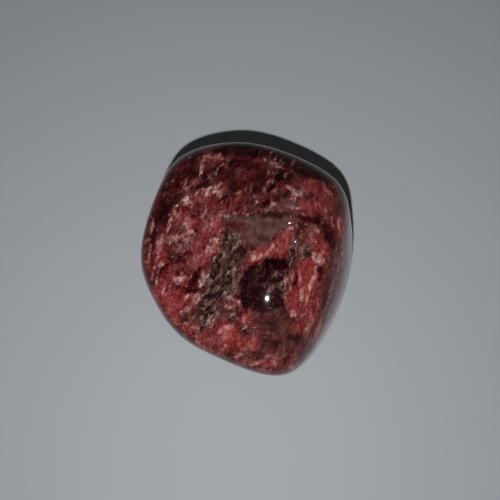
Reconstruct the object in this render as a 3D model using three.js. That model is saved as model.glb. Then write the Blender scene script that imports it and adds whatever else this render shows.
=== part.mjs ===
// Tumbled thulite: one thumb-sized polished pebble of rock, in millimetres, +Z up, resting on Z = 0.
// It began as a rough chip with flat broken faces. Tumbling wore its edges and corners round, so each old face is now
// a low pillow that runs smoothly into the next one, and the lowest face keeps a true flat that the stone rests on.
// +Y is the stone's long way, +X lies across it, and the top is the side that a finger would polish.

import * as THREE from "three";
import { mergeVertices } from "three/addons/utils/BufferGeometryUtils.js";

// ---- Driving dimensions ----

// Height of the chip's heart over the resting flat. All faces are measured from the heart.
const HEART_HEIGHT = 9.3;

// How sharp the worn edges are: 2 gives an egg, 14 a tumbled chip, 60 a freshly broken one.
const EDGE_SHARPNESS = 14;

// Each edge of the icosahedron that the surface is spread over is cut into this many, so the stone has 20 x 20² faces.
const SURFACE_STEPS = 20;

// The chip's old faces. Azimuth turns from +X towards +Y and elevation is above the horizontal, both in degrees, for
// the way the face looks. Distance is from the heart to the face.
const CHIP_FACES = [
  // the girdle, round the widest part
  { name: "left edge", azimuth: 186, elevation: 6, distance: 13.6 },
  { name: "left", azimuth: 162, elevation: 3, distance: 12.45 },
  { name: "far left", azimuth: 126, elevation: -7, distance: 14.55 },
  { name: "far", azimuth: 94, elevation: -2, distance: 14.15 },
  { name: "far edge", azimuth: 69, elevation: 1, distance: 14.1 },
  { name: "far right", azimuth: 38, elevation: 2, distance: 16.0 },
  { name: "right edge", azimuth: 18, elevation: 0, distance: 16.5 },
  { name: "right", azimuth: -5, elevation: 12, distance: 13.5 },
  { name: "near right", azimuth: -30, elevation: 6, distance: 13.75 },
  { name: "near right corner", azimuth: -58, elevation: -7, distance: 17.5 },
  { name: "near corner", azimuth: -80, elevation: -4, distance: 15.8 },
  { name: "near", azimuth: 246, elevation: -2, distance: 12.75 },
  { name: "near left", azimuth: 211, elevation: 1, distance: 12.4 },

  // the top: a broad crown that leans back to the far side, and the slopes round it
  { name: "crown", azimuth: 105, elevation: 81, distance: 9.5 },
  { name: "right slope", azimuth: -18, elevation: 42, distance: 13.6 },
  { name: "near right crown", azimuth: -38, elevation: 60, distance: 12.6 },
  { name: "near left crown", azimuth: 228, elevation: 70, distance: 10.4 },
  { name: "far right crown", azimuth: 51, elevation: 62, distance: 11.5 },
  { name: "far left crown", azimuth: 112, elevation: 45, distance: 14.4 },

  // the underside
  { name: "base", azimuth: 0, elevation: -90, distance: 9.4 },
  { name: "under left", azimuth: 170, elevation: -50, distance: 11.5 },
  { name: "under right", azimuth: -14, elevation: -40, distance: 14.6 },
  { name: "under far", azimuth: 80, elevation: -48, distance: 12.2 },
  { name: "under near", azimuth: -100, elevation: -50, distance: 12.0 },
];

const THULITE = { color: 0x8a3038, roughness: 0.12, metalness: 0 };

// ---- Shape ----

// The unit vector that points along an azimuth and elevation in degrees.
function direction(azimuth, elevation) {
  const across = Math.cos(THREE.MathUtils.degToRad(elevation));
  return new THREE.Vector3(
    across * Math.cos(THREE.MathUtils.degToRad(azimuth)),
    across * Math.sin(THREE.MathUtils.degToRad(azimuth)),
    Math.sin(THREE.MathUtils.degToRad(elevation)),
  );
}

const facePlanes = CHIP_FACES.map((face) => ({
  normal: direction(face.azimuth, face.elevation),
  distance: face.distance,
}));

// How far the worn surface is from the heart along a unit vector. With sharp edges this would be the nearest face's
// own plane; the power sum lets the faces near an edge share it, which rounds the edge off.
function wornRadius(ray) {
  let sum = 0;
  for (const { normal, distance } of facePlanes) {
    const reach = Math.max(normal.dot(ray), 0) / distance;
    sum += reach ** EDGE_SHARPNESS;
  }
  return sum ** (-1 / EDGE_SHARPNESS);
}

// The same, cut off by the resting flat under the heart.
function restingRadius(ray) {
  const worn = wornRadius(ray);
  return ray.z < 0 ? Math.min(worn, HEART_HEIGHT / -ray.z) : worn;
}

// Spreads an icosahedron's fine grid over the stone, all in one closed surface.
function stoneGeometry() {
  const sphere = new THREE.IcosahedronGeometry(1, SURFACE_STEPS - 1);
  sphere.deleteAttribute("normal");
  sphere.deleteAttribute("uv");
  const geometry = mergeVertices(sphere, 1e-5);
  const places = geometry.getAttribute("position");
  const ray = new THREE.Vector3();
  for (let i = 0; i < places.count; i++) {
    ray.fromBufferAttribute(places, i).normalize();
    const place = ray.clone().multiplyScalar(restingRadius(ray));
    places.setXYZ(i, place.x, place.y, Math.max(place.z + HEART_HEIGHT, 0));
  }
  geometry.computeVertexNormals();
  return geometry;
}

// Moves a geometry sideways so that the middle of its box is over the origin.
function centredOverOrigin(geometry) {
  geometry.computeBoundingBox();
  const middle = geometry.boundingBox.getCenter(new THREE.Vector3());
  return geometry.translate(-middle.x, -middle.y, 0);
}

// ---- Assembly: one natural piece, so one mesh ----

const stone = new THREE.Mesh(
  centredOverOrigin(stoneGeometry()),
  new THREE.MeshStandardMaterial(THULITE),
);
stone.name = "thulite_stone";

const tumbledThulite = new THREE.Group();
tumbledThulite.add(stone);

export default tumbledThulite;
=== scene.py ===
# A tumbled thulite stone on a pale table. One small lamp beside the camera lights it, and two faint, broad
# lights far off keep its shaded sides readable. The shape is the solid's own on a finer mesh, with the relief
# that polishing left. The rock is one material, whose minerals show where the patches below say.
from math import atan2, cos, degrees, pi, radians, sin

import bpy
import numpy as np
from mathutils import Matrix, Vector, noise


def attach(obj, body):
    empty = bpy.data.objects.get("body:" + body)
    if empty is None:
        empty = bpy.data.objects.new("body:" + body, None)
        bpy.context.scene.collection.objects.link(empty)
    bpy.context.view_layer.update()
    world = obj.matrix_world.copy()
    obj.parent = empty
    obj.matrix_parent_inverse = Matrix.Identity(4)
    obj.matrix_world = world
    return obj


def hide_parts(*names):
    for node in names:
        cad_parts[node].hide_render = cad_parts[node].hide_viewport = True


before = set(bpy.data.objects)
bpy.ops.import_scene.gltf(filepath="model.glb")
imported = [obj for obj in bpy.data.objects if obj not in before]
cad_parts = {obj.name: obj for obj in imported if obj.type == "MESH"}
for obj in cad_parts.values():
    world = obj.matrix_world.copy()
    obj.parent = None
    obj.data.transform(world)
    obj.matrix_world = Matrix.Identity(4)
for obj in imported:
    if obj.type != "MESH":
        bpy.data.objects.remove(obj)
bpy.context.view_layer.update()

MM = 0.001  # all sizes and places below are in mm until they reach Blender

# ---- The stone's shape, as in its solid: a chip's old faces, worn into each other ----

HEART_HEIGHT = 9.3
EDGE_SHARPNESS = 14

# name, azimuth from +X towards +Y and elevation in degrees, distance from the heart in mm
CHIP_FACES = [
    ("left edge", 186, 6, 13.6),
    ("left", 162, 3, 12.45),
    ("far left", 126, -7, 14.55),
    ("far", 94, -2, 14.15),
    ("far edge", 69, 1, 14.1),
    ("far right", 38, 2, 16.0),
    ("right edge", 18, 0, 16.5),
    ("right", -5, 12, 13.5),
    ("near right", -30, 6, 13.75),
    ("near right corner", -58, -7, 17.5),
    ("near corner", -80, -4, 15.8),
    ("near", 246, -2, 12.75),
    ("near left", 211, 1, 12.4),
    ("crown", 105, 81, 9.5),
    ("right slope", -18, 42, 13.6),
    ("near right crown", -38, 60, 12.6),
    ("near left crown", 228, 70, 10.4),
    ("far right crown", 51, 62, 11.5),
    ("far left crown", 112, 45, 14.4),
    ("base", 0, -90, 9.4),
    ("under left", 170, -50, 11.5),
    ("under right", -14, -40, 14.6),
    ("under far", 80, -48, 12.2),
    ("under near", -100, -50, 12.0),
]


def direction(azimuth, elevation):
    """The unit vector that points along an azimuth and elevation in degrees."""
    a, e = radians(azimuth), radians(elevation)
    return np.array([cos(e) * cos(a), cos(e) * sin(a), sin(e)])


FACE_NORMALS = np.array([direction(az, el) for _, az, el, _ in CHIP_FACES])
FACE_DISTANCES = np.array([distance for *_, distance in CHIP_FACES])


def worn_radius(rays):
    """How far the worn surface is from the heart along unit vectors, in mm."""
    reach = np.maximum(rays @ FACE_NORMALS.T, 0) / FACE_DISTANCES
    return (reach**EDGE_SHARPNESS).sum(axis=1) ** (-1 / EDGE_SHARPNESS)


# Patches and facets are measured from this place beside the heart.
PATCH_START = (0.98, -0.25, 0)

# The upper side's height is found by halving a range from the heart up to a place above the stone.
ABOVE_STONE = 12.0
HALVINGS = 24


def top_height(x, y):
    """How high the stone's upper side is over a place, both measured from the heart."""
    low, high = 0.0, ABOVE_STONE
    for _ in range(HALVINGS):
        middle = (low + high) / 2
        point = np.array([[x, y, middle]])
        reach = np.linalg.norm(point)
        inside = reach < worn_radius(point / reach)[0]
        low, high = (middle, high) if inside else (low, middle)
    return low


# ---- Fine mesh ----

# A cube's six faces are blown up to a sphere, each with this many steps a side.
CUBE_STEPS = 128
CUBE_FACES = [  # outward, across and up of each face
    ((1, 0, 0), (0, 1, 0), (0, 0, 1)),
    ((0, 1, 0), (-1, 0, 0), (0, 0, 1)),
    ((-1, 0, 0), (0, -1, 0), (0, 0, 1)),
    ((0, -1, 0), (1, 0, 0), (0, 0, 1)),
    ((0, 0, 1), (0, 1, 0), (-1, 0, 0)),
    ((0, 0, -1), (0, 1, 0), (1, 0, 0)),
]
UV_COLUMNS, UV_ROWS = 3, 2  # the six faces lie in this grid on the map
UV_MARGIN = 0.006  # round each face, as a share of the map
SAME_POINT = 6  # decimals to which two faces' edge points agree


def cube_sphere():
    """Unit vectors on a closed grid of quads, the quads, and the map place of each quad's corners."""
    side = CUBE_STEPS + 1
    turn = np.tan(np.linspace(-pi / 4, pi / 4, side))
    across, up = np.meshgrid(turn, turn, indexing="ij")
    share = np.linspace(0, 1, side)
    share_u, share_v = np.meshgrid(share, share, indexing="ij")
    index = np.arange(side * side).reshape(side, side)
    corners = (index[:-1, :-1], index[1:, :-1], index[1:, 1:], index[:-1, 1:])
    ring = np.stack([corner.ravel() for corner in corners], axis=1)
    rays, quads, places = [], [], []
    cell = np.array([1 / UV_COLUMNS, 1 / UV_ROWS])
    for number, (outward, right, top) in enumerate(CUBE_FACES):
        grid = np.array(outward) + across[..., None] * np.array(right) + up[..., None] * np.array(top)
        rays.append(grid.reshape(-1, 3))
        quads.append(ring + number * side * side)
        corner = np.array([number % UV_COLUMNS, number // UV_COLUMNS]) * cell
        inside = np.stack([share_u.ravel(), share_v.ravel()], axis=1) * (cell - 2 * UV_MARGIN)
        places.append((corner + UV_MARGIN + inside)[ring])
    rays = np.concatenate(rays)
    rays /= np.linalg.norm(rays, axis=1)[:, None]
    _, first, merged = np.unique(rays.round(SAME_POINT), axis=0, return_index=True, return_inverse=True)
    return rays[first], merged.ravel()[np.concatenate(quads)], np.concatenate(places).reshape(-1, 2)


# ---- Relief that polishing left: broad swells, two tiny facets and small pits ----

SWELLS = [(0.22, 0.020), (0.7, 0.004)]  # swells a mm, mean depth in mm

# The cleavage facets that glint beside the quartz: x and y from the patches' start and radius in mm, and the
# azimuth and elevation that each one faces.
FACETS = [
    (4.6, 2.9, 0.36, -104, 74),
    (5.2, 0.6, 0.32, -106, 75),
]
FACET_DEPTH = 0.08
FACET_CORE = 0.6  # the share of the radius that is flat

# Pits, strewn over the sides.
PIT_SEED = 8
PIT_COUNT = 26
PIT_ELEVATIONS = (-50, 25)
PIT_RADII = (0.25, 0.6)
PIT_DEPTHS = (0.05, 0.14)  # as a share of the radius


def surface_place(x, y):
    """The place on the upper side that lies at x and y from the patches' start."""
    place = np.array([x, y, 0]) + PATCH_START
    place[2] = top_height(*place[:2])
    return place


def faded(distance, core, edge):
    """1 up to the core, 0 from the edge on, and a smooth fade between them."""
    share = np.clip((edge - distance) / (edge - core), 0, 1)
    return share**2 * (3 - 2 * share)


def pits():
    """A ray from the heart, a radius and a depth for each pit."""
    found = []
    random = np.random.default_rng(PIT_SEED)
    for _ in range(PIT_COUNT):
        ray = direction(random.uniform(0, 360), random.uniform(*PIT_ELEVATIONS))
        radius = random.uniform(*PIT_RADII)
        found.append((ray, radius, radius * random.uniform(*PIT_DEPTHS)))
    return found


def relief(rays, points):
    """How deep the surface lies under its worn faces in mm, and how far into a pit or facet, from 0 to 1."""
    depth = np.zeros(len(points))
    in_pit = np.zeros(len(points))
    for scale, amount in SWELLS:
        depth += amount * (1 + np.array([noise.noise(Vector(point) * scale) for point in points.tolist()]))
    for x, y, radius, azimuth, elevation in FACETS:
        from_middle = points - surface_place(x, y)
        facing = direction(azimuth, elevation)
        share = faded(np.linalg.norm(from_middle, axis=1) / radius, FACET_CORE, 1)
        over = (from_middle @ facing + FACET_DEPTH) / (rays @ facing)
        depth = depth * (1 - share) + np.maximum(over, 0) * share
        in_pit = np.maximum(in_pit, share)
    for ray, radius, deepest in pits():
        away = np.linalg.norm(points - ray * worn_radius(ray[None])[0], axis=1) / radius
        inside = np.clip(1 - away**2, 0, 1)
        depth += deepest * inside**2
        in_pit = np.maximum(in_pit, inside)
    return depth, in_pit


def polished_stone():
    """The stone with the middle of its box over the origin, its points in mm and the place of its heart."""
    rays, quads, places = cube_sphere()
    points = rays * worn_radius(rays)[:, None]
    middle = (points.min(axis=0) + points.max(axis=0)) / 2
    heart = np.array([-middle[0], -middle[1], HEART_HEIGHT])
    depth, in_pit = relief(rays, points)
    points -= rays * depth[:, None]
    points[:, 2] = np.maximum(points[:, 2], -HEART_HEIGHT)
    points += heart
    mesh = bpy.data.meshes.new("polished_stone")
    mesh.from_pydata((points * MM).tolist(), [], quads.tolist())
    layer = mesh.uv_layers.new(name="OFBake")
    layer.uv.foreach_set("vector", places.ravel())
    mesh.attributes.new("pit", "FLOAT", "POINT").data.foreach_set("value", in_pit)
    mesh.shade_smooth()
    stone = bpy.data.objects.new("polished_stone", mesh)
    bpy.context.scene.collection.objects.link(stone)
    return stone, points, heart


# ---- Node trees ----


class Tree:
    """Adds nodes to a tree and links them, so that a pattern reads as a formula."""

    def __init__(self, tree):
        self.tree = tree

    def add(self, kind, inputs=(), **settings):
        """A new node, with its inputs linked or set and its settings made."""
        node = self.tree.nodes.new(kind)
        for name, value in settings.items():
            setattr(node, name, value)
        for name, value in dict(inputs).items():
            self.put(node.inputs[name], value)
        return node

    def put(self, socket, value):
        """Links an output to a socket, or sets the socket's own value."""
        if isinstance(value, bpy.types.NodeSocket):
            self.tree.links.new(value, socket)
        else:
            socket.default_value = value

    def math(self, operation, *values, clamp=False):
        node = self.add("ShaderNodeMath", enumerate(values), operation=operation, use_clamp=clamp)
        return node.outputs[0]

    def times(self, first, second):
        return self.math("MULTIPLY", first, second)

    def squared(self, value):
        return self.math("POWER", value, 2.0)

    def total(self, *values):
        result = values[0]
        for value in values[1:]:
            result = self.math("ADD", result, value)
        return result

    def vector(self, operation, *values):
        node = self.add("ShaderNodeVectorMath", enumerate(values), operation=operation)
        return node.outputs["Value" if operation == "LENGTH" else "Vector"]

    def scaled(self, vector, factor):
        node = self.add("ShaderNodeVectorMath", {0: vector, "Scale": factor}, operation="SCALE")
        return node.outputs["Vector"]

    def noise_outputs(self, vector, scale, detail=2.0, roughness=0.55):
        inputs = {"Vector": vector, "Scale": scale, "Detail": detail, "Roughness": roughness}
        return self.add("ShaderNodeTexNoise", inputs).outputs

    def noise(self, vector, scale, **settings):
        """A noise from 0 to 1, with so many swells a mm. Detail adds finer ones and roughness lifts them."""
        return self.noise_outputs(vector, scale, **settings)["Fac"]

    def swing(self, vector, scale, amount, **settings):
        """A noise around nought, of so large an amount."""
        return self.times(self.math("SUBTRACT", self.noise(vector, scale, **settings), 0.5), amount)

    def warped(self, place, scale, amount):
        """A place that a noise has moved, by up to about half the amount."""
        shift = self.vector("SUBTRACT", self.noise_outputs(place, scale)["Color"], (0.5, 0.5, 0.5))
        return self.vector("ADD", place, self.scaled(shift, amount))

    def patch(self, kind):
        """How strongly the patches of a kind cover the place."""
        return self.add("ShaderNodeAttribute", attribute_name=kind).outputs["Fac"]

    def crystals(self, vector, scale):
        """A random value from 0 to 1 for each crystal."""
        cells = self.add("ShaderNodeTexVoronoi", {"Vector": vector, "Scale": scale})
        return self.add("ShaderNodeSeparateColor", {"Color": cells.outputs["Color"]}).outputs[0]

    def between(self, value, low, high, out_low=0.0, out_high=1.0, smooth=True):
        """Goes from out_low to out_high while the value goes from low to high, and stays there."""
        inputs = {"Value": value, "From Min": low, "From Max": high, "To Min": out_low, "To Max": out_high}
        kind = "SMOOTHSTEP" if smooth else "LINEAR"
        return self.add("ShaderNodeMapRange", inputs, interpolation_type=kind).outputs["Result"]

    def blend(self, factor, first, second):
        """The first colour where the factor is 0, and the second where it is 1."""
        node = self.add("ShaderNodeMix", data_type="RGBA")
        self.put(node.inputs["Factor"], factor)
        self.put(node.inputs[6], first)
        self.put(node.inputs[7], second)
        return node.outputs[2]

    def ramp(self, value, stops):
        """A colour from a mineral's tones."""
        node = self.add("ShaderNodeValToRGB", {"Fac": value})
        elements = node.color_ramp.elements
        for number, (place, colour) in enumerate(stops):
            element = elements[number] if number < 2 else elements.new(place)
            element.position = place
            element.color = pigment(colour)
        return node.outputs["Color"]


# ---- Thulite ----

# Tones of each mineral from its darkest to its palest, as display colours from 0 to 255 under the lamp.
THULITE_TONES = [
    (0.00, (20, 1, 2)),
    (0.15, (44, 8, 9)),
    (0.30, (70, 19, 21)),
    (0.45, (96, 34, 36)),
    (0.60, (116, 48, 49)),
    (0.72, (134, 67, 66)),
    (0.85, (154, 98, 94)),
    (1.00, (186, 144, 138)),
]
VIVID_TONES = [
    (0.00, (40, 4, 5)),
    (0.30, (92, 21, 23)),
    (0.50, (126, 40, 41)),
    (0.65, (146, 54, 53)),
    (0.80, (168, 84, 80)),
    (1.00, (198, 134, 124)),
]
DULL_TONES = [
    (0.00, (22, 6, 6)),
    (0.25, (56, 26, 25)),
    (0.45, (84, 45, 43)),
    (0.62, (108, 66, 63)),
    (0.80, (138, 100, 95)),
    (1.00, (180, 148, 140)),
]
QUARTZ_TONES = [
    (0.00, (46, 22, 19)),
    (0.30, (76, 45, 41)),
    (0.60, (101, 71, 66)),
    (1.00, (126, 96, 90)),
]
AMPHIBOLE_TONES = [
    (0.00, (24, 5, 4)),
    (0.22, (50, 23, 20)),
    (0.42, (80, 53, 48)),
    (0.62, (110, 83, 77)),
    (0.85, (144, 117, 109)),
    (1.00, (190, 168, 158)),
]
POOL_TONES = [
    (0.00, (10, 0, 0)),
    (0.35, (24, 4, 5)),
    (0.55, (37, 13, 15)),
    (0.75, (60, 33, 35)),
    (1.00, (112, 82, 82)),
]
NEEDLE = (25, 14, 10)
SPECK = (34, 4, 5)
PALE_PINK = (158, 98, 94)
PALE_CREAM = (196, 156, 148)

# How much of the light that a plain white surface gives back is left under the polish, in full lamp light.
LIGHT_LEFT = 0.87


def pigment(colour):
    """The linear colour, by the sRGB standard, that looks like a display colour on the polished stone."""
    share = np.array(colour) / 255
    linear = np.where(share <= 0.04045, share / 12.92, ((share + 0.055) / 1.055) ** 2.4)
    return (*(linear / LIGHT_LEFT).tolist(), 1)


# The rock's bands fan out from a place far off, lean over with height, and bend over near the far rim.
FAN_CENTRE = (20, 56)
FAN_RADIUS = 58  # where distances across the bands are true
BAND_DIP = 0.3
BEND_START = 6
BEND = 0.02

# How much of its length a pattern keeps along the bands and upwards, where less means longer crystals.
GRAIN_LENGTH = 0.6
STREAK_LENGTH = 0.4
GRAIN_HEIGHT = 0.7

# How deep the patches reach into the rock.
PATCH_DEPTH = 4.5

# The noise that makes the patches' edges ragged, as swells a mm and swing in mm. Its seed is fixed, because
# without one each run would give another stone.
EDGE_SEED = 2
EDGE_NOISE = [(1.1, 0.28), (3.0, 0.14)]

# Where a kind of patch starts to fade and where it ends, as a share of its half sizes.
PATCH_FADE = {
    "dark": (0.5, 1.3),
    "bright": (0.5, 1.3),
    "pale": (0.5, 1.3),
    "dull": (0.5, 1.3),
    "amphibole": (0.3, 1.6),
    "pool": (0.3, 1.6),
    "quartz": (0.7, 1.3),
}

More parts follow.
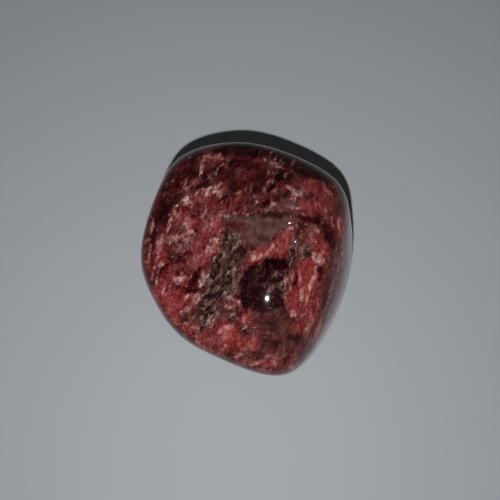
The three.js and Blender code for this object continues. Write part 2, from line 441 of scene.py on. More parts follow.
# Patches on the upper side, listed by kind: x and y of the middle, half length and half width in mm,
# the direction of the length from +X towards +Y in degrees, and how strong the patch is.
PATCHES = {
    "dark": [
        (-8.0, 9.8, 4.0, 2.2, 52, 0.6),
        (-6.4, 12.6, 2.8, 0.8, 18, 0.9),
        (-0.6, 12.5, 4.6, 1.4, -2, 1.3),
        (-1.0, 10.4, 2.2, 0.9, -8, 1.2),
        (-2.0, 9.0, 2.8, 1.0, 5, 0.6),
        (5.0, 11.6, 4.4, 1.3, -22, 1.2),
        (7.4, 9.9, 3.0, 1.0, -20, 1.4),
        (-9.2, 5.5, 1.9, 0.6, 40, 1.0),
        (-10.3, 4.4, 2.2, 1.4, 57, 0.85),
        (-11.4, 1.2, 2.2, 0.5, 80, 0.8),
        (-12.7, 2.8, 3.0, 0.7, 84, 0.9),
        (-10.4, 1.9, 0.8, 0.3, 30, 0.7),
        (-8.8, -1.2, 1.1, 0.8, 10, 1.2),
        (-10.0, -2.2, 0.8, 0.35, 30, 0.7),
        (-8.2, -2.8, 0.9, 0.3, 20, 0.6),
        (-7.3, -0.7, 0.4, 0.3, 0, 0.7),
        (-5.7, 7.6, 1.2, 0.35, 15, 1.1),
        (-5.4, 8.9, 0.5, 0.9, 10, 0.8),
        (-4.0, 9.4, 1.5, 0.6, -10, 0.8),
        (-1.6, 7.6, 1.4, 0.8, 30, 0.7),
        (-2.8, 6.2, 1.2, 0.8, 50, 0.6),
        (-0.6, 5.4, 1.4, 0.5, 10, 0.5),
        (-6.8, 3.7, 0.6, 0.3, -20, 0.9),
        (-7.4, 4.4, 0.6, 0.3, 20, 0.5),
        (1.2, 8.2, 1.8, 1.3, 60, 0.6),
        (3.2, 8.7, 1.2, 0.35, 62, 1.4),
        (2.5, 7.4, 0.8, 0.3, 62, 1.3),
        (3.0, 6.0, 0.7, 0.5, 50, 1.1),
        (3.9, 6.6, 0.7, 0.8, 60, 0.7),
        (1.7, 5.2, 0.8, 0.25, 50, 1.1),
        (7.2, 3.4, 1.5, 0.5, -8, 1.1),
        (8.5, 3.0, 1.1, 0.7, -60, 0.8),
        (9.3, 1.6, 1.7, 0.7, -78, 0.75),
        (6.3, 2.6, 0.8, 0.5, 0, 0.7),
        (6.7, -0.9, 0.4, 0.3, 80, 1.4),
        (5.2, -0.2, 0.5, 0.3, 80, 0.9),
        (5.1, -3.8, 0.8, 0.3, 85, 1.1),
        (8.2, -2.9, 1.2, 0.3, 80, 1.0),
        (8.7, -6.2, 1.1, 0.35, 84, 1.0),
        (9.2, -4.2, 1.4, 0.3, 80, 0.5),
        (7.4, -8.9, 1.2, 0.2, 78, 0.3),
        (-6.5, -3.6, 1.5, 0.5, 66, 1.0),
        (-6.9, -4.9, 1.3, 0.3, 3, 1.0),
        (-8.6, -4.6, 0.7, 0.25, 0, 0.7),
        (-1.9, -8.0, 1.0, 0.3, 65, 1.3),
        (-0.5, -9.7, 0.7, 0.45, 0, 0.5),
        (-7.7, -8.1, 0.8, 0.45, 20, 0.9),
        (3.0, -2.1, 1.9, 0.7, -8, 1.4),
        (4.2, -2.0, 0.6, 0.8, 80, 0.7),
        (0.3, -2.2, 0.8, 0.5, 60, 0.9),
        (-2.1, -1.6, 1.6, 0.9, 60, 0.8),
        (4.0, 8.4, 1.4, 1.0, 60, 0.9),
        (-1.6, -0.8, 1.6, 1.0, 50, 1.1),
        (5.2, -10.4, 1.0, 0.65, -10, 1.0),
        (4.6, -9.2, 1.6, 0.3, 70, 0.6),
        (2.4, -11.1, 1.5, 0.6, 0, 0.5),
        (2.8, -8.4, 2.0, 1.3, 0, 0.5),
        (3.6, -12.9, 0.9, 0.6, 0, 0.3),
        (0.6, -12.4, 1.0, 0.5, 0, 0.3),
        (3.0, 3.9, 2.4, 0.45, 3, 0.9),
        (0.2, 3.6, 1.6, 0.4, 4, 0.4),
        (1.2, 0.6, 1.4, 0.5, 24, 0.15),
    ],
    "bright": [
        (-9.0, -5.8, 2.0, 1.2, -10, 1.1),
        (-8.9, -7.3, 1.2, 0.8, -40, 0.9),
        (-9.9, -4.6, 1.4, 0.7, 0, 0.7),
        (7.8, 5.2, 2.2, 0.9, -5, 1.0),
        (7.2, 7.8, 2.4, 0.8, -15, 0.6),
        (9.0, 6.6, 1.4, 1.0, -40, 0.6),
        (4.2, 1.1, 1.4, 0.8, 50, 0.9),
        (3.6, -0.3, 1.2, 0.6, 30, 0.8),
        (4.2, 7.6, 1.4, 0.7, -20, 0.5),
        (-4.0, 2.8, 0.9, 0.7, 40, 1.0),
        (-4.9, 5.3, 1.2, 0.5, 10, 0.5),
        (-7.9, 3.9, 1.4, 0.6, 50, 0.5),
        (-6.8, 3.0, 0.8, 0.5, 30, 0.6),
        (-5.4, 1.7, 1.0, 0.7, 60, 0.5),
        (-5.8, 0.4, 1.9, 0.8, 40, 0.4),
        (-5.6, -1.4, 1.8, 0.8, 50, 0.6),
        (-2.2, 5.2, 1.4, 0.7, 20, 0.4),
        (6.9, -3.4, 2.4, 1.6, 80, 1.05),
        (5.0, -6.2, 1.7, 0.7, 84, 1.1),
        (7.0, -6.4, 1.6, 1.1, 80, 1.1),
        (8.4, -0.4, 1.6, 0.8, 80, 0.9),
        (7.2, 1.0, 1.2, 0.8, 80, 0.5),
        (12.6, 2.0, 5.5, 2.6, 95, 1.0),
        (10.7, 2.7, 1.3, 0.7, 88, 1.2),
        (11.6, -5.0, 5.0, 2.4, 75, 1.0),
        (9.8, -10.0, 4.0, 2.2, 62, 1.0),
        (-9.6, -3.4, 1.8, 0.8, 60, 0.6),
        (-10.6, -0.4, 1.6, 0.7, 75, 0.6),
        (6.6, -8.6, 1.6, 1.0, 70, 0.7),
        (7.9, -9.2, 1.5, 0.6, 72, 0.9),
        (-5.0, -10.9, 2.2, 1.0, -28, 0.65),
        (5.2, -9.2, 0.8, 0.5, 0, 0.7),
        (-2.4, -10.3, 2.0, 1.3, -60, 1.0),
        (0.1, -11.0, 1.2, 0.8, 0, 0.9),
        (-0.5, -8.0, 0.9, 0.5, 60, 0.8),
        (-7.4, -6.2, 1.0, 0.7, 40, 0.8),
        (1.4, -0.8, 1.9, 0.7, 28, 0.7),
        (0.2, -1.6, 0.9, 0.5, 60, 0.9),
        (-7.0, -9.3, 1.6, 0.7, -25, 0.5),
        (2.2, -13.2, 1.6, 0.6, 0, 0.6),
    ],
    "pale": [
        (-6.9, 1.8, 3.6, 1.9, 55, 0.3),
        (-5.4, -0.8, 2.2, 1.0, 50, 0.4),
        (-3.6, 4.0, 1.6, 0.9, 0, 0.3),
        (-1.2, 0.6, 1.4, 1.0, 60, 0.4),
        (11.9, 3.5, 2.5, 0.6, 95, 0.7),
        (10.9, -2.0, 3.0, 0.5, 85, 0.6),
        (9.4, -8.0, 2.5, 0.4, 70, 0.7),
        (10.5, 3.2, 1.2, 0.2, 92, 1.0),
        (-11.5, 2.6, 1.6, 0.18, 84, 1.4),
        (-11.9, -0.4, 1.6, 0.2, 84, 1.4),
        (-10.9, -3.6, 1.2, 0.2, 74, 1.3),
        (-11.4, -2.6, 1.0, 0.2, 80, 1.3),
        (-10.6, -2.4, 0.9, 0.18, 76, 1.2),
        (-10.9, -1.1, 0.8, 0.18, 80, 1.2),
        (-10.2, -4.7, 0.8, 0.18, 66, 1.2),
        (-4.1, 11.4, 0.8, 0.7, -10, 1.2),
        (-3.9, 11.1, 0.3, 0.3, 0, 1.2),
        (-5.5, 11.2, 0.9, 0.35, 15, 0.9),
        (-4.6, 10.5, 0.5, 0.2, 0, 0.6),
        (-5.8, 9.6, 0.9, 0.25, 78, 0.9),
        (-7.6, 10.6, 0.5, 0.15, 60, 0.6),
        (-7.7, 8.2, 0.6, 0.15, 60, 0.7),
        (-6.6, 7.1, 0.9, 0.15, 88, 0.8),
        (-4.6, 7.0, 1.1, 0.75, 10, 1.9),
        (-3.6, 7.6, 0.7, 0.3, 50, 1.0),
        (-3.7, 6.4, 0.3, 0.5, 0, 0.8),
        (-5.9, 5.8, 0.3, 0.3, 0, 1.0),
        (-7.5, 5.7, 0.8, 0.55, -15, 1.9),
        (-7.0, 5.1, 0.3, 0.5, -10, 1.0),
        (-8.6, 5.1, 0.9, 0.25, 50, 1.0),
        (-9.3, 3.6, 1.5, 0.3, 66, 1.0),
        (-10.0, 2.0, 1.0, 0.3, 60, 0.9),
        (-7.5, 2.8, 0.5, 0.3, 80, 1.4),
        (-7.6, 1.6, 1.2, 0.35, 30, 1.1),
        (-8.7, 1.3, 0.6, 0.3, 30, 0.8),
        (-10.2, 0.9, 0.9, 0.35, 25, 1.0),
        (-10.4, 0.1, 0.6, 0.2, 30, 0.7),
        (-6.0, 1.9, 0.5, 0.2, 40, 0.7),
        (-4.5, 3.1, 0.7, 0.2, 76, 1.1),
        (-3.8, 4.5, 0.9, 0.2, -30, 0.8),
        (-2.8, 3.8, 0.5, 0.25, -30, 1.3),
        (-4.2, 0.8, 0.5, 0.5, 75, 1.1),
        (-4.6, -0.2, 0.5, 0.3, 60, 0.8),
        (-0.5, 3.9, 0.4, 0.4, 90, 1.3),
        (-1.6, 4.0, 0.6, 0.2, 0, 0.8),
        (-1.2, 6.6, 0.5, 0.35, 80, 0.9),
        (0.4, 6.3, 0.3, 0.3, 0, 0.9),
        (0.7, 5.5, 0.3, 0.2, 0, 0.8),
        (1.7, 6.8, 0.3, 0.25, 0, 1.2),
        (1.9, 4.2, 0.4, 0.3, 120, 1.1),
        (2.6, 5.2, 0.4, 0.25, 0, 1.1),
        (2.4, 4.7, 0.3, 0.2, 0, 0.8),
        (3.4, 10.1, 0.9, 0.2, -5, 1.2),
        (2.9, 10.6, 0.6, 0.3, 0, 1.0),
        (4.5, 9.4, 0.7, 0.25, 40, 0.9),
        (2.1, 13.2, 0.6, 0.3, 5, 1.1),
        (1.2, 12.4, 0.8, 0.12, 56, 0.8),
        (2.4, 11.8, 1.4, 0.12, 54, 1.0),
        (3.2, 11.6, 1.5, 0.12, 52, 1.0),
        (3.9, 11.5, 1.2, 0.12, 50, 0.9),
        (1.7, 11.2, 0.9, 0.12, 56, 0.7),
        (0.8, 11.0, 0.8, 0.12, 58, 0.6),
        (5.3, 11.2, 0.6, 0.3, 30, 0.5),
        (6.0, 10.2, 0.4, 0.2, 0, 1.3),
        (7.8, 9.4, 0.6, 0.12, 20, 0.7),
        (3.1, 7.4, 0.9, 0.2, 58, 0.7),
        (4.8, 7.2, 0.8, 0.3, -35, 1.5),
        (5.6, 6.7, 0.8, 0.5, -15, 1.5),
        (5.2, 6.0, 0.5, 0.3, 80, 1.2),
        (6.3, 6.8, 0.3, 0.2, 0, 0.8),
        (4.9, 4.95, 1.0, 0.25, -5, 1.1),
        (5.4, 4.0, 0.7, 0.2, 95, 1.1),
        (4.6, 2.2, 0.5, 0.25, 10, 1.2),
        (5.3, 2.5, 0.4, 0.2, 60, 0.9),
        (6.6, 2.6, 0.4, 0.15, 10, 1.0),
        (7.6, 5.4, 0.3, 0.6, 0, 0.6),
        (8.2, 5.6, 0.2, 0.2, 0, 1.0),
        (9.5, 7.3, 0.6, 0.35, -20, 1.0),
        (8.9, 4.7, 0.3, 0.25, 0, 0.9),
        (10.9, 5.2, 0.25, 0.5, 10, 0.9),
        (8.15, 3.2, 0.4, 0.12, 80, 1.1),
        (7.7, 2.1, 0.6, 0.12, 85, 1.1),
        (6.2, 1.6, 0.7, 0.4, 80, 0.8),
        (6.9, 0.9, 0.8, 0.4, 80, 0.8),
        (5.7, -0.4, 0.8, 0.25, 70, 0.9),
        (6.2, -0.1, 0.6, 0.2, 70, 0.7),
        (7.9, -1.4, 0.8, 0.7, -60, 1.6),
        (7.4, -0.7, 0.4, 0.3, 0, 0.9),
        (8.6, -0.4, 0.2, 0.2, 0, 0.9),
        (9.9, -0.2, 0.6, 0.15, 70, 0.8),
        (7.5, -3.0, 1.1, 0.25, 70, 1.4),
        (7.0, -4.2, 0.9, 0.22, 84, 1.2),
        (5.6, -3.6, 0.9, 0.2, 92, 1.0),
        (5.8, -5.6, 1.1, 0.28, 88, 1.4),
        (6.5, -6.0, 0.8, 0.2, 80, 0.8),
        (7.9, -6.3, 0.7, 0.18, 82, 1.1),
        (8.4, -7.8, 0.7, 0.18, 80, 0.8),
        (7.0, -7.9, 0.9, 0.18, 88, 1.0),
        (6.7, -9.2, 0.7, 0.4, 80, 0.9),
        (4.9, -7.7, 0.45, 0.45, 80, 1.5),
        (4.1, -6.4, 1.5, 0.15, 92, 1.2),
        (2.6, -4.9, 0.9, 0.40, 25, 1.1),
        (3.5, -4.6, 0.5, 0.4, 80, 1.0),
        (-0.5, -3.7, 0.4, 0.15, -10, 0.9),
        (2.9, -3.2, 0.7, 0.4, 0, 0.6),
        (3.95, -4.4, 0.7, 0.12, 92, 0.9),
        (4.5, -5.0, 0.5, 0.2, 80, 0.7),
        (1.5, -0.9, 1.3, 0.4, 28, 0.95),
        (2.6, -0.1, 0.5, 0.25, 60, 1.2),
        (0.3, -1.4, 0.7, 0.3, 65, 1.4),
        (-0.1, -0.8, 0.5, 0.4, 0, 1.0),
        (-5.5, -3.6, 1.1, 0.3, 75, 1.2),
        (-4.9, -3.4, 0.6, 0.4, 75, 1.1),
        (-4.4, -1.8, 0.9, 0.15, 50, 0.8),
        (-8.2, -3.6, 1.0, 0.4, 20, 1.1),
        (-7.1, -3.4, 0.5, 0.3, 0, 0.8),
        (-7.7, -4.4, 0.9, 0.08, -3, 1.2),
        (-6.4, -6.1, 0.9, 0.5, 60, 1.4),
        (-7.4, -7.0, 0.9, 0.3, 30, 1.4),
        (-7.5, -5.7, 0.25, 0.3, 0, 1.2),
        (-6.9, -5.4, 0.3, 0.5, 0, 0.8),
        (-2.0, -4.5, 0.7, 0.35, 80, 1.2),
        (-2.2, -6.0, 0.9, 0.3, -20, 1.1),
        (-1.5, -6.3, 0.3, 0.25, 0, 1.0),
        (-2.7, -6.9, 0.5, 0.3, 60, 0.9),
        (-3.5, -5.2, 0.4, 0.1, 5, 1.6),
        (-4.4, -5.1, 0.3, 0.2, 60, 1.5),
        (-2.9, -1.0, 0.4, 0.3, 0, 0.7),
        (-1.2, 1.0, 1.0, 0.5, 60, 0.5),
        (-1.6, -2.9, 0.6, 0.4, 60, 0.8),
        (-7.5, -8.5, 0.25, 0.3, 0, 1.2),
        (-8.8, -8.4, 0.5, 0.2, -50, 0.9),
        (-6.2, -9.2, 0.3, 0.2, 70, 1.0),
        (-4.5, -9.0, 0.7, 0.12, 70, 1.1),
        (-4.8, -8.3, 0.3, 0.2, 0, 0.9),
        (-2.6, -9.1, 0.6, 0.4, 20, 1.2),
        (-3.5, -9.7, 0.3, 0.3, 0, 0.9),
        (-2.8, -11.2, 0.4, 0.2, 0, 1.0),
        (-1.3, -11.0, 0.3, 0.2, 0, 0.7),
        (-1.4, -12.4, 0.9, 0.4, 10, 0.8),
        (-0.7, -8.3, 0.25, 0.6, 0, 0.7),
        (2.2, -12.4, 0.5, 0.25, 20, 0.9),
        (2.9, -12.4, 0.2, 0.4, 0, 0.9),
        (0.6, -13.2, 1.3, 0.2, 5, 0.9),
        (5.1, -13.6, 0.7, 0.2, 30, 0.8),
        (8.0, -9.4, 1.4, 0.25, 70, 0.8),
        (1.3, -9.8, 0.5, 0.2, 0, 0.6),
    ],
    "dull": [
        (2.7, -8.6, 2.4, 1.9, 0, 1.1),
        (3.0, -10.8, 4.2, 2.4, 0, 0.75),
        (-1.2, -12.4, 2.4, 0.9, 0, 0.6),
        (2.6, -4.9, 0.9, 0.6, 30, 1.0),
        (5.5, -10.5, 1.4, 0.8, 0, 1.0),
        (2.4, -11.1, 1.6, 0.8, 0, 0.8),
        (-3.3, -7.3, 0.9, 1.2, 60, 1.0),
        (3.9, 6.7, 0.9, 0.9, 60, 1.0),
        (4.6, 5.1, 1.4, 0.5, -5, 0.9),
        (5.4, 4.1, 0.7, 0.4, 90, 1.0),
        (1.6, 4.6, 1.6, 0.4, 0, 0.8),
        (-6.9, -8.1, 1.6, 0.7, 5, 0.9),
        (-2.3, -4.6, 2.4, 1.4, 75, 1.0),
        (-1.8, -1.4, 2.0, 1.5, 60, 1.0),
        (-1.4, 1.2, 1.5, 1.0, 60, 1.0),
        (-4.9, -3.6, 1.3, 0.6, 70, 0.9),
        (-6.8, -6.4, 1.8, 0.5, 48, 0.9),
        (6.0, -0.4, 1.8, 0.9, 75, 1.0),
        (7.9, -1.3, 0.6, 0.6, 0, 0.7),
        (6.7, 1.8, 1.0, 0.8, 80, 0.6),
        (10.9, 5.6, 1.6, 0.7, 100, 1.0),
        (3.4, 11.2, 2.2, 1.2, 55, 0.8),
        (-2.6, 3.4, 1.0, 0.6, 0, 0.8),
    ],
    "amphibole": [
        (-2.9, 0.6, 1.5, 0.35, 74, 2.1),
        (-3.7, -1.6, 1.6, 0.4, 64, 1.6),
        (-4.2, -3.0, 1.2, 0.5, 60, 1.4),
        (-3.7, -3.6, 1.9, 1.2, 10, 1.2),
        (-4.1, -4.9, 2.0, 1.4, 55, 1.0),
        (-4.6, -5.6, 1.4, 0.4, 20, 1.3),
        (-2.7, -5.0, 1.2, 0.9, 0, 1.0),
        (-5.0, -7.1, 1.9, 1.3, 75, 1.0),
        (-5.4, -7.6, 1.6, 0.4, 70, 1.3),
        (-5.6, -8.8, 1.0, 0.6, 80, 0.9),
        (-2.2, -3.5, 1.3, 0.9, 60, 1.1),
        (-1.9, 0.3, 1.6, 0.9, 60, 0.9),
        (-2.3, -1.6, 1.4, 0.9, 60, 0.9),
        (-1.9, -7.9, 0.9, 0.3, 68, 0.9),
        (-0.4, -9.6, 0.5, 0.4, 0, 0.8),
        (4.9, -1.3, 1.5, 0.4, 82, 1.1),
        (4.3, -3.0, 0.8, 0.35, 60, 0.8),
        (3.5, -4.6, 0.6, 0.5, 80, 1.0),
        (6.3, -0.8, 0.9, 0.6, 75, 0.7),
        (3.3, -3.2, 1.0, 0.5, 0, 0.6),
        (3.7, -5.8, 1.0, 0.4, 80, 0.7),
        (2.9, -7.2, 1.2, 0.3, 5, 0.6),
    ],
    "pool": [
        (0.1, -4.8, 2.7, 1.4, 84, 1.0),
        (1.4, -3.3, 1.4, 1.3, 20, 1.0),
        (2.7, -3.3, 1.4, 0.9, -8, 1.0),
        (1.7, -6.4, 1.9, 1.1, 5, 1.1),
        (3.1, -6.4, 0.8, 0.8, 60, 1.0),
        (1.3, -5.0, 1.2, 1.4, 0, 1.0),
        (2.9, -5.0, 0.9, 0.8, 60, 0.9),
    ],
    "quartz": [
        (1.8, 2.5, 2.5, 1.05, 5, 1.0),
        (1.2, 1.1, 1.7, 1.0, 24, 1.0),
        (0.4, 1.7, 1.5, 0.7, 80, 1.0),
        (3.5, 2.7, 1.2, 0.6, 25, 1.0),
        (3.1, 3.9, 2.2, 0.5, 3, 1.0),
        (-1.4, 3.3, 1.6, 0.4, -6, 1.0),
        (0.2, 3.4, 1.2, 0.5, 2, 1.0),
    ],
}

# Patches that are strewn over the sides, by kind: how many, the least and greatest half length, half width
# and half height in mm, and the least and greatest strength.
SIDE_SEED = 21
SIDE_ELEVATIONS = (-55, 2)
SIDE_TURN = 15  # how far their length may turn away from the bands, in degrees
SIDE_PATCHES = {
    "dark": (26, (1.2, 4.5), (0.3, 1.2), (0.8, 3.5), (0.6, 1.3)),
    "bright": (20, (1.5, 4.5), (0.6, 1.6), (1.0, 3.0), (0.6, 1.2)),
    "pale": (60, (0.4, 2.2), (0.12, 0.5), (0.3, 1.6), (0.7, 1.5)),
    "dull": (16, (1.5, 4.0), (0.6, 1.8), (1.0, 3.0), (0.5, 1.1)),
    "amphibole": (14, (1.0, 3.5), (0.4, 1.2), (0.8, 2.6), (0.9, 1.8)),
    "pool": (3, (0.8, 1.6), (0.6, 1.1), (0.8, 1.4), (1.0, 1.1)),
    "quartz": (5, (1.2, 2.6), (0.6, 1.1), (0.8, 1.6), (1.0, 1.1)),
}


def top_patches(kind):
    """The middle, half sizes, direction and strength of each patch of a kind on the upper side."""
    return [
        (surface_place(x, y), (half_length, half_width, PATCH_DEPTH), turn, strength)
        for x, y, half_length, half_width, turn, strength in PATCHES[kind]
    ]


def side_patches(kind):
    """The same for the patches that are strewn over the sides."""
    found = []
    random = np.random.default_rng(SIDE_SEED + list(PATCHES).index(kind))
    count, *ranges = SIDE_PATCHES[kind]
    for _ in range(count):
        ray = direction(random.uniform(0, 360), random.uniform(*SIDE_ELEVATIONS))
        middle = ray * worn_radius(ray[None])[0]
        *half_sizes, strength = (random.uniform(*low_high) for low_high in ranges)
        band = degrees(atan2(FAN_CENTRE[1] - middle[1], FAN_CENTRE[0] - middle[0]))
        turn = band + random.uniform(-SIDE_TURN, SIDE_TURN)
        found.append((middle, half_sizes, turn, strength))
    return found


def ragged(points):
    """The points, each moved a little by smooth noise, so that patches measured from them are ragged."""
    noise.seed_set(EDGE_SEED)
    for scale, swing in EDGE_NOISE:
        shifts = [noise.noise_vector(Vector(point) * scale) for point in points.tolist()]
        points = points + np.array(shifts) * swing
    return points


def cover(points, kind):
    """How strongly the patches of a kind cover each point, fading from a patch's core to its edge."""
    core, edge = PATCH_FADE[kind]
    strongest = np.zeros(len(points))
    for middle, half_sizes, turn, strength in top_patches(kind) + side_patches(kind):
        half_length, half_width, half_height = half_sizes
        from_middle = points - middle
        along = from_middle @ direction(turn, 0) / half_length
        aside = from_middle @ direction(turn + 90, 0) / half_width
        deep = from_middle[:, 2] / half_height
        distance = np.sqrt(along**2 + aside**2 + deep**2)
        strongest = np.maximum(strongest, strength * faded(distance, core, edge))
    return strongest


def mark_patches(mesh, points):
    """Stores each kind of patch on the mesh, for the material to read. The points are seen from the heart."""
    rough = ragged(points)
    for kind in PATCHES:
        layer = mesh.attributes.new(kind, "FLOAT", "POINT")
        layer.data.foreach_set("value", cover(rough, kind))


def foliation(t, place):
    """How far a place is along, across and up the rock's bands, in mm."""
    parts = t.add("ShaderNodeSeparateXYZ", {0: place}).outputs
    past_start = t.math("MAXIMUM", t.math("SUBTRACT", parts["Y"], BEND_START), 0.0)
    bent = t.math("SUBTRACT", parts["X"], t.times(t.squared(past_start), BEND))
    right = t.math("SUBTRACT", FAN_CENTRE[0], bent)
    far = t.math("SUBTRACT", FAN_CENTRE[1], parts["Y"])
    along = t.math("SQRT", t.total(t.squared(right), t.squared(far)))
    across = t.times(t.math("ARCTAN2", right, far), FAN_RADIUS)
    dipped = t.total(across, t.times(parts["Z"], BAND_DIP))
    return along, dipped, parts["Z"]


def stretched(t, bands, length):
    """The bands' coordinates with their length shortened, so that a pattern on them runs along the bands."""
    along, across, height = bands
    inputs = {"X": t.times(along, length), "Y": across, "Z": t.times(height, GRAIN_HEIGHT)}
    return t.add("ShaderNodeCombineXYZ", inputs).outputs["Vector"]


class Rock:
    """What the minerals share: places in mm, patches that change several of them, and ragged edges."""

    def __init__(self, t):
        self.place = t.scaled(t.add("ShaderNodeTexCoord").outputs["Object"], 1 / MM)
        bands = foliation(t, t.warped(self.place, scale=0.5, amount=0.8))
        self.grain = stretched(t, bands, GRAIN_LENGTH)
        self.streaks = stretched(t, bands, STREAK_LENGTH)
        self.dark = t.patch("dark")
        self.bright = t.patch("bright")
        self.pale = t.patch("pale")
        self.dull = t.patch("dull")
        self.amphibole = t.patch("amphibole")
        # how calm the red is, with fewer specks and weaker grains
        self.calm = t.math("MINIMUM", t.math("MAXIMUM", self.bright, self.dull), 1.0)
        # moves the edges of amphibole, pool and quartz in and out
        self.rim = t.swing(self.grain, scale=1.8, amount=1.6, detail=4, roughness=0.75)
        # how much of the place is amphibole, which polishing undercuts
        self.undercut = t.between(t.total(self.amphibole, self.rim), 0.25, 0.75, 0.0, 0.85)


# Zoisite is the ground, and each other function lays its mineral over the colour so far. The sums weigh what
# makes a tone paler or a mineral show: a bare first number is the usual tone, and each other line raises or
# lowers it by a noise's swing or by a patch.


def zoisite(t, rock):
    """Red zoisite, from deep crimson to coral, and duller where quartz is mixed in."""
    tone = t.total(
        0.46,
        t.swing(rock.place, scale=0.35, amount=0.45),
        t.swing(rock.grain, scale=0.8, amount=0.6),
        t.times(rock.dark, -0.30),
        t.times(rock.bright, 0.13),
        t.times(rock.pale, 0.12),
        t.times(t.times(rock.pale, rock.bright), 0.20),
    )
    quartz_in_it = t.between(t.noise(rock.grain, scale=0.5, detail=1), 0.45, 0.70, 0.0, 0.6)
    dullness = t.math("MINIMUM", t.total(quartz_in_it, rock.dull), 1.0)
    colour = t.blend(dullness, t.ramp(tone, THULITE_TONES), t.ramp(tone, DULL_TONES))
    vividness = t.math("MULTIPLY", rock.bright, 0.7, clamp=True)
    return t.blend(vividness, colour, t.ramp(tone, VIVID_TONES))


def pale_crystals(t, rock, colour):
    """Pale pink and cream crystals along the bands."""
    fleck = t.total(
        t.times(t.crystals(rock.grain, scale=3.4), 0.40),
        t.swing(rock.streaks, scale=1.2, amount=1.4, detail=3, roughness=0.6),
        t.times(rock.pale, 0.30),
        t.times(t.times(rock.pale, rock.bright), -0.12),
        t.times(rock.dark, -0.12),
        t.times(rock.dull, -0.10),
    )
    cream = t.total(
        t.noise(rock.grain, scale=3.0),
        t.times(rock.pale, 0.08),
        t.times(rock.amphibole, 0.15),
    )
    crystal = t.blend(t.between(cream, 0.50, 0.78), pigment(PALE_PINK), pigment(PALE_CREAM))
    return t.blend(t.between(fleck, 0.24, 0.72, 0.0, 0.9), colour, crystal)


def dark_specks(t, rock, colour):
    """Small dark crimson specks."""
    speck = t.total(
        t.noise(rock.grain, scale=2.6, detail=3, roughness=0.7),
        t.times(rock.dark, 0.06),
        t.times(rock.calm, -0.07),
    )
    return t.blend(t.between(speck, 0.57, 0.68, 0.0, 0.6), colour, pigment(SPECK))


def grains(t, rock, colour):
    """Single grains that pale or darken the red. The pale ones also take its redness away."""
    swell = t.total(
        t.swing(rock.grain, scale=1.4, amount=1.45),
        t.swing(rock.grain, scale=3.2, amount=2.2),
        t.swing(rock.grain, scale=7.0, amount=4.0),
        t.times(t.math("SUBTRACT", t.crystals(rock.grain, scale=2.6), 0.5), 0.6),
    )
    swell = t.times(swell, t.between(rock.calm, 0.0, 1.0, 1.1, 0.65))
    swell = t.times(swell, t.between(rock.dull, 0.2, 1.0, 1.0, 0.8))
    shade = t.math("MINIMUM", t.math("POWER", 2.0, swell), 1.45)
    pale_shade = t.squared(shade)
    shades = t.add("ShaderNodeCombineXYZ", {"X": shade, "Y": pale_shade, "Z": pale_shade}).outputs["Vector"]
    return t.vector("MULTIPLY", colour, shades)


def amphibole(t, rock, colour):
    """Amphibole: grey and beige granules round black-green needles."""
    tone = t.total(
        0.46,
        t.swing(rock.grain, scale=1.8, amount=3.2, detail=4, roughness=0.8),
        t.times(rock.pale, 0.15),
    )
    colour = t.blend(rock.undercut, colour, t.ramp(tone, AMPHIBOLE_TONES))
    needles = t.total(
        t.swing(rock.grain, scale=3.2, amount=2.6, detail=3, roughness=0.7),
        t.swing(rock.place, scale=1.1, amount=1.3, detail=1),
        t.times(rock.amphibole, 0.50),
    )
    return t.blend(t.between(needles, 0.47, 0.67, 0.0, 0.9), colour, pigment(NEEDLE))


def pool(t, rock, colour):
    """The near-black pool, with a few pale bits that show through."""
    tone = t.total(
        0.40,
        t.swing(rock.grain, scale=1.6, amount=1.9, detail=4, roughness=0.75),
        t.swing(rock.grain, scale=5.5, amount=1.5),
        t.swing(rock.place, scale=0.6, amount=0.5, detail=1),
        t.times(rock.dark, -0.10),
        t.times(rock.pale, 0.32),
    )
    share = t.total(
        t.patch("pool"),
        t.times(rock.rim, 0.8),
        t.swing(rock.place, scale=0.9, amount=0.35, detail=1),
        t.times(rock.pale, -0.25),
    )
    return t.blend(t.between(share, 0.30, 0.62, 0.0, 0.95), colour, t.ramp(tone, POOL_TONES))


def quartz(t, rock, colour):
    """Smooth, cloudy grey-brown quartz."""
    tone = t.total(
        0.52,
        t.swing(t.warped(rock.place, scale=0.7, amount=1.0), scale=0.8, amount=1.1),
        t.swing(rock.grain, scale=2.0, amount=1.2, detail=4, roughness=0.7),
        t.times(rock.dark, -0.45),
        t.times(rock.pale, 0.25),
    )
    share = t.total(t.patch("quartz"), t.times(rock.rim, 0.22))
    return t.blend(t.between(share, 0.25, 0.75), colour, t.ramp(tone, QUARTZ_TONES))


# The polish, and what it leaves rougher: pits and facets, and less so the softer amphibole that it undercuts.
POLISHED_ROUGHNESS = 0.045
PIT_ROUGHNESS = 0.20
UNDERCUT_SHARE = 0.4
UNDERCUT_DEPTH = 0.03
UNDERCUT_STRENGTH = 0.3
REFRACTIVE_INDEX = 1.65


def polish(t, rock, surface):
    """The gloss of the stone, with the fine relief of the undercut amphibole."""
    in_pit = t.between(t.patch("pit"), 0.1, 0.5)
    dulled = t.math("MAXIMUM", t.times(rock.undercut, UNDERCUT_SHARE), in_pit)
    roughness = t.between(dulled, 0.0, 1.0, POLISHED_ROUGHNESS, PIT_ROUGHNESS, smooth=False)
    t.put(surface.inputs["Roughness"], roughness)
    height = t.times(rock.undercut, t.noise(rock.grain, scale=2.4, detail=3, roughness=0.7))
    bump = {"Height": height, "Strength": UNDERCUT_STRENGTH, "Distance": UNDERCUT_DEPTH * MM}
    t.put(surface.inputs["Normal"], t.add("ShaderNodeBump", bump).outputs["Normal"])
    surface.inputs["IOR"].default_value = REFRACTIVE_INDEX


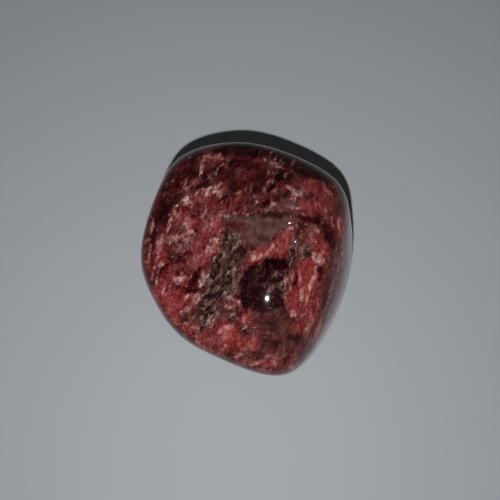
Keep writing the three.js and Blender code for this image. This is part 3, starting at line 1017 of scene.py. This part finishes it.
def thulite():
    """The material of the whole stone."""
    material = bpy.data.materials.new("thulite")
    material.use_nodes = True
    surface = material.node_tree.nodes["Principled BSDF"]
    t = Tree(material.node_tree)
    rock = Rock(t)
    colour = zoisite(t, rock)
    for mineral in (pale_crystals, dark_specks, grains, amphibole, pool, quartz):
        colour = mineral(t, rock, colour)
    t.put(surface.inputs["Base Color"], colour)
    polish(t, rock, surface)
    return material


# ---- Table, light and camera ----

TABLE_COLOUR = (0.50, 0.53, 0.56, 1)
TABLE_ROUGHNESS = 0.6
TABLE_HALF = 3000

# The lamp hardly reaches the far table, so the table glows faintly from the first distance on, and in full
# from the second. The stone's rims mirror it.
GLOW_START = 60
GLOW_FULL = 260
GLOW = 0.055

# The sky's strength overhead, and what the horizon has on top of it.
SKY_COLOUR = (0.95, 0.98, 1.0, 1)
SKY_OVERHEAD = 0.019
SKY_HORIZON = 0.045
SKY_FALL = 3.0  # how fast the horizon's share fades upwards

# Lights: azimuth and elevation in degrees, distance and width in mm, and power in watts.
LAMP = (264, 73.2, 122, 2.7, 0.102)  # from the stone's heart
SOFT_LIGHTS = {
    "far left": (140, 14, 400, 260, 0.038),
    "far right": (50, 14, 400, 260, 0.038),
}

VIEW_AZIMUTH = -90
VIEW_ELEVATION = 80
VIEW_DISTANCE = 105
VIEW_TARGET = (0.93, 1.04, 0.0)  # from the stone's heart
VIEW_WIDTH = 63.5  # what the picture takes in at the target
SENSOR = 36.0
NEAREST_SEEN = 5


def table():
    """A wide, plain, pale table top."""
    mesh = bpy.data.meshes.new("table")
    half = TABLE_HALF * MM
    corners = [(-half, -half, 0), (half, -half, 0), (half, half, 0), (-half, half, 0)]
    mesh.from_pydata(corners, [], [(0, 1, 2, 3)])
    floor = bpy.data.objects.new("table", mesh)
    bpy.context.scene.collection.objects.link(floor)
    material = bpy.data.materials.new("table")
    material.use_nodes = True
    surface = material.node_tree.nodes["Principled BSDF"]
    surface.inputs["Base Color"].default_value = TABLE_COLOUR
    surface.inputs["Roughness"].default_value = TABLE_ROUGHNESS
    surface.inputs["Emission Color"].default_value = SKY_COLOUR
    t = Tree(material.node_tree)
    away = t.vector("LENGTH", t.add("ShaderNodeTexCoord").outputs["Object"])
    t.put(surface.inputs["Emission Strength"], t.between(away, GLOW_START * MM, GLOW_FULL * MM, 0.0, GLOW))
    mesh.materials.append(material)


def aim(thing, target, azimuth, elevation, distance):
    """Puts a light or camera at a distance from the target, facing it."""
    back = Vector(direction(azimuth, elevation))
    thing.location = (target + back * distance) * MM
    thing.rotation_euler = (-back).to_track_quat("-Z", "Y").to_euler()


def disk_light(name, target, azimuth, elevation, distance, width, power):
    """A round, flat light that faces the target."""
    data = bpy.data.lights.new(name, "AREA")
    data.shape = "DISK"
    data.size = width * MM
    data.energy = power
    light = bpy.data.objects.new(name, data)
    bpy.context.scene.collection.objects.link(light)
    aim(light, target, azimuth, elevation, distance)
    return light


def lights(heart):
    """The lamp, and broad lights that the polish doesn't mirror, so they only lift the shaded sides."""
    disk_light("lamp", heart, *LAMP)
    for name, settings in SOFT_LIGHTS.items():
        soft = disk_light(name, Vector(), *settings)
        soft.visible_glossy = False


def sky():
    """A faint, even sky that is brighter near the horizon."""
    world = bpy.data.worlds.new("studio")
    world.use_nodes = True
    bpy.context.scene.world = world
    t = Tree(world.node_tree)
    looking = t.add("ShaderNodeTexCoord").outputs["Generated"]
    height = t.add("ShaderNodeSeparateXYZ", {0: looking}).outputs["Z"]
    low = t.math("POWER", t.math("SUBTRACT", 1.0, height, clamp=True), SKY_FALL)
    background = world.node_tree.nodes["Background"]
    background.inputs["Color"].default_value = SKY_COLOUR
    t.put(background.inputs["Strength"], t.total(t.times(low, SKY_HORIZON), SKY_OVERHEAD))


def camera(heart):
    """The camera, which looks down on the stone."""
    data = bpy.data.cameras.new("camera")
    data.sensor_width = SENSOR
    data.lens = SENSOR * VIEW_DISTANCE / VIEW_WIDTH
    data.clip_start = NEAREST_SEEN * MM
    view = bpy.data.objects.new("camera", data)
    bpy.context.scene.collection.objects.link(view)
    aim(view, heart + Vector(VIEW_TARGET), VIEW_AZIMUTH, VIEW_ELEVATION, VIEW_DISTANCE)
    bpy.context.scene.camera = view


stone, points, heart = polished_stone()
mark_patches(stone.data, points - heart)
stone.data.materials.append(thulite())
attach(stone, "root")
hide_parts("thulite_stone")
table()
lights(Vector(heart))
sky()
camera(Vector(heart))
bpy.context.scene.view_settings.view_transform = "Standard"
